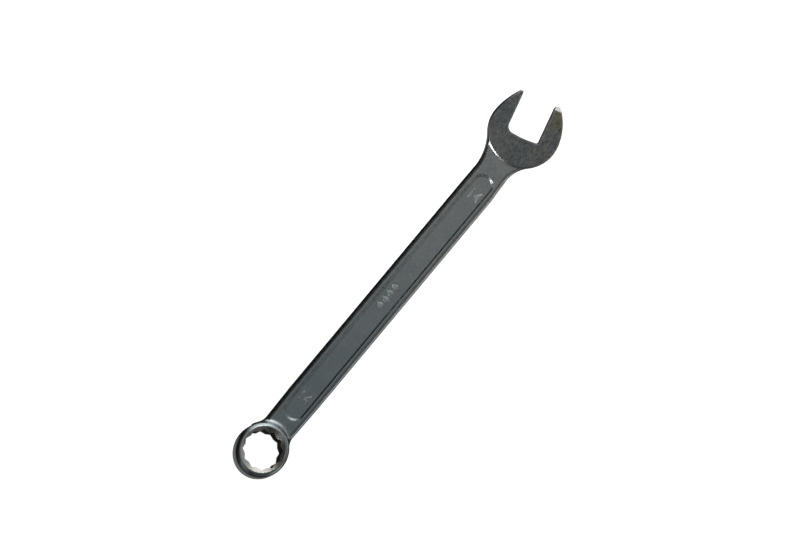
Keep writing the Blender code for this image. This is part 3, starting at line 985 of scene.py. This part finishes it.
BEHIND_GLOW = 0.24
WORLD_STOPS = (
    (-1.0, 1.0),
    (-0.93, 0.14),
    (-0.75, 0.15),
    (-0.52, 0.19),
    (-0.3, 0.04),
    (-0.12, 0.28),
    (0.1, 0.34),
    (0.45, 0.08),
    (0.8, 0.03),
    (1.0, 0.02),
)


def make_camera():
    """The view from above, a little from the tool's upper side, and rolled."""
    out = Vector((math.tan(CAMERA_LEAN_X), math.tan(CAMERA_LEAN_Y), 1.0)).normalized()
    x_axis = (Vector((1.0, 0.0, 0.0)) - out * out.x).normalized()
    y_axis = out.cross(x_axis)
    right = x_axis * math.cos(CAMERA_ROLL) - y_axis * math.sin(CAMERA_ROLL)
    up = x_axis * math.sin(CAMERA_ROLL) + y_axis * math.cos(CAMERA_ROLL)
    data = bpy.data.cameras.new("camera")
    data.sensor_width = SENSOR_WIDTH
    data.lens = CAMERA_LENS
    data.shift_x, data.shift_y = CAMERA_SHIFT
    data.clip_start = CLIP_START
    camera = bpy.data.objects.new("camera", data)
    turn = Matrix((right, up, out)).transposed().to_4x4()
    camera.matrix_world = Matrix.Translation(LOOK_AT + out * CAMERA_DISTANCE) @ turn
    bpy.context.scene.collection.objects.link(camera)
    bpy.context.scene.camera = camera


def add_softbox(name, target, azimuth, elevation, distance, width, height, watts):
    """A rectangular soft light that looks at a point on the tool."""
    a = math.radians(azimuth)
    e = math.radians(elevation)
    way = Vector((math.cos(a) * math.cos(e), math.sin(a) * math.cos(e), math.sin(e)))
    data = bpy.data.lights.new(name, "AREA")
    data.shape = "RECTANGLE"
    data.size = width
    data.size_y = height
    data.energy = watts
    light = bpy.data.objects.new(name, data)
    light.location = Vector(target) + way * distance
    light.rotation_mode = "QUATERNION"
    light.rotation_quaternion = way.to_track_quat("Z", "Y")
    light.visible_camera = False
    bpy.context.scene.collection.objects.link(light)
    return data


def studio_glow(tree, x, y, z):
    """Grey overhead and along the horizon at the tool's lower side, and dark beyond its upper side.

    All of it is brighter ahead of the open end, and dimmer behind the ring unless high up.
    """
    side = ramp(tree, y, 0.0, 1.0, -1.0, 1.0, "LINEAR")
    across = add_node(tree, "ShaderNodeValToRGB", {"Fac": side})
    stops = across.color_ramp.elements
    for i, (place, grey) in enumerate(WORLD_STOPS):
        stop = stops[i] if i < 2 else stops.new(1.0)
        stop.position = (place + 1.0) / 2
        stop.color = (grey, grey, grey, 1.0)
    overhead = ramp(tree, z, 0.15, 1.0, -0.1, 0.35)
    beside = ramp(tree, y, 1.0, 0.0, -0.9, -0.7)
    above = maths(tree, "MAXIMUM", overhead, beside)
    ahead = ramp(tree, x, 0.0, AHEAD_GAIN, 0.15, 0.5)
    ahead = maths(tree, "MULTIPLY", ahead, ramp(tree, y, 0.0, 1.0, -0.6, -0.2))
    rear = ramp(tree, x, 0.3, 1.0, -0.45, -0.15)
    rear = maths(tree, "MAXIMUM", rear, ramp(tree, z, 1.0, 0.0, 0.4, 0.7))
    gain = maths(tree, "ADD", ahead, rear)
    return maths(tree, "MULTIPLY", maths(tree, "MULTIPLY", across.outputs["Color"], above), gain)


def window_glow(tree, x, y, z):
    """A low bright window ahead of the open end, which the bore's front cone reflects."""
    window = maths(tree, "MULTIPLY", ramp(tree, z, 1.0, 0.0, 0.2, 0.45),
                   ramp(tree, y, 0.3, 1.0, -0.05, 0.15))
    window = maths(tree, "MULTIPLY", window, ramp(tree, x, 0.0, AHEAD_GLOW, 0.3, 0.7))
    return maths(tree, "MULTIPLY", window, ramp(tree, z, 0.0, 1.0, -0.7, -0.4))


def low_glow(tree, x, z):
    """A faint glow low behind the ring."""
    behind = ramp(tree, x, BEHIND_GLOW, 0.0, -0.25, -0.03)
    return maths(tree, "MULTIPLY", behind, ramp(tree, z, 1.0, 0.0, -0.75, -0.3))


def make_world():
    """A dim studio, warmer at the horizon than overhead."""
    world = bpy.data.worlds.new("studio")
    world.use_nodes = True
    tree = world.node_tree
    way = add_node(tree, "ShaderNodeTexCoord").outputs["Generated"]
    x, y, z = add_node(tree, "ShaderNodeSeparateXYZ", {"Vector": way}).outputs
    glows = maths(tree, "ADD", window_glow(tree, x, y, z), low_glow(tree, x, z))
    strength = maths(tree, "ADD", studio_glow(tree, x, y, z), glows)
    background = tree.nodes["Background"]
    colour = mix(tree, ramp(tree, z, 0.0, 1.0, 0.6, 0.9), HORIZON_COLOUR, ZENITH_COLOUR, "RGBA")
    tree.links.new(colour, background.inputs["Color"])
    tree.links.new(strength, background.inputs["Strength"])
    bpy.context.scene.world = world


def make_floor(z):
    bpy.ops.mesh.primitive_grid_add(x_subdivisions=2, y_subdivisions=2, size=FLOOR_SIZE)
    floor = bpy.context.object
    floor.name = "floor"
    floor.location.z = z
    material = bpy.data.materials.new("pale_floor")
    material.use_nodes = True
    shader = material.node_tree.nodes["Principled BSDF"]
    shader.inputs["Base Color"].default_value = FLOOR_COLOUR
    shader.inputs["Roughness"].default_value = FLOOR_ROUGHNESS
    shader.inputs["Emission Color"].default_value = (1.0, 1.0, 1.0, 1.0)
    shader.inputs["Emission Strength"].default_value = FLOOR_GLOW
    floor.data.materials.append(material)
    floor.visible_glossy = False
    floor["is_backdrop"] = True


def make_lights():
    add_softbox("key_light", (0.0, 0.0, 0.0), 26.0, 38.0, 1.2, 0.45, 0.4, 2.4)
    side = add_softbox("side_light", (0.07, 0.0, 0.0), 158.0, 38.0, 0.3, 0.24, 0.1, 0.036)
    side.spread = SIDE_LIGHT_SPREAD


# ---------------------------------------------------------------- the tool

forging = forged_pieces()
for piece, node, slot in zip(
    forging,
    ("box_end_ring", "shank", "open_end_head"),
    ("plated_ring_steel", "satin_shank_steel", "ground_head_steel"),
):
    piece.data.materials.append(steel_finish(slot))
    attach(piece, "root")
    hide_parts(node)
mark_finish = steel_finish("raised_mark_steel")
for mark in raised_marks():
    mark.data.materials.append(mark_finish)
    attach(mark, "root")

make_camera()
make_world()
make_lights()
make_floor(min(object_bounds()[0].z, 0.0))
bpy.context.scene.view_settings.view_transform = "Standard"
